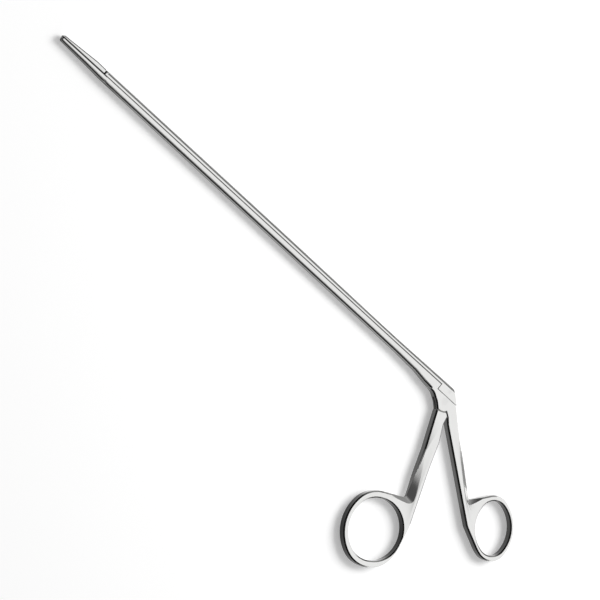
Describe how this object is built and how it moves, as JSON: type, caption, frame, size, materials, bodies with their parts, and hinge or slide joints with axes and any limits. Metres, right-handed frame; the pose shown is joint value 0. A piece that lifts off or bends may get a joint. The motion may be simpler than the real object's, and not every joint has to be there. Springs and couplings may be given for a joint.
{
  "type": "alligator forceps",
  "caption": "Slim surgical forceps with a two-bar shaft, a short serrated jaw that opens at the tip, and two legs with oval finger rings set at an angle.",
  "frame": {"origin": "main pivot axis, on the side face that the forceps lie on", "axes": "+X along the shaft from the tip to the handles, +Y the way the upper jaw opens, +Z through the thickness, away from the face it lies on"},
  "size_m": [0.3361, 0.0946, 0.0056],
  "materials": {
    "surgical_steel": "satin polished stainless steel"
  },
  "bodies": {
    "frame": {"fixed_frame": "surgical_steel", "main_pivot_pin": "surgical_steel", "jaw_pivot_pin": "surgical_steel"},
    "handle": {"finger_handle": "surgical_steel"},
    "slide": {"slide_bar": "surgical_steel", "drive_pin": "surgical_steel", "jaw_link_pin": "surgical_steel"},
    "jaw": {"upper_jaw": "surgical_steel"}
  },
  "joints": [
    {"name": "handle_hinge", "type": "hinge", "parent": "frame", "child": "handle", "pos_m": [0, 0, 0.0028], "axis": [0, 0, -1], "range_deg": [0, 23.39]},
    {"name": "slide_run", "type": "slide", "parent": "frame", "child": "slide", "axis": [1, 0, 0], "range_m": [0, 0.00207]},
    {"name": "jaw_hinge", "type": "hinge", "parent": "frame", "child": "jaw", "pos_m": [-0.2342, 0.0041, 0.0028], "axis": [0, 0, -1], "range_deg": [0, 44.98]}
  ],
  "couplings": [
    {"joint": "slide_run", "follows": "handle_hinge", "m_per_rad": 0.0050706},
    {"joint": "jaw_hinge", "follows": "handle_hinge", "ratio": 1.923}
  ]
}
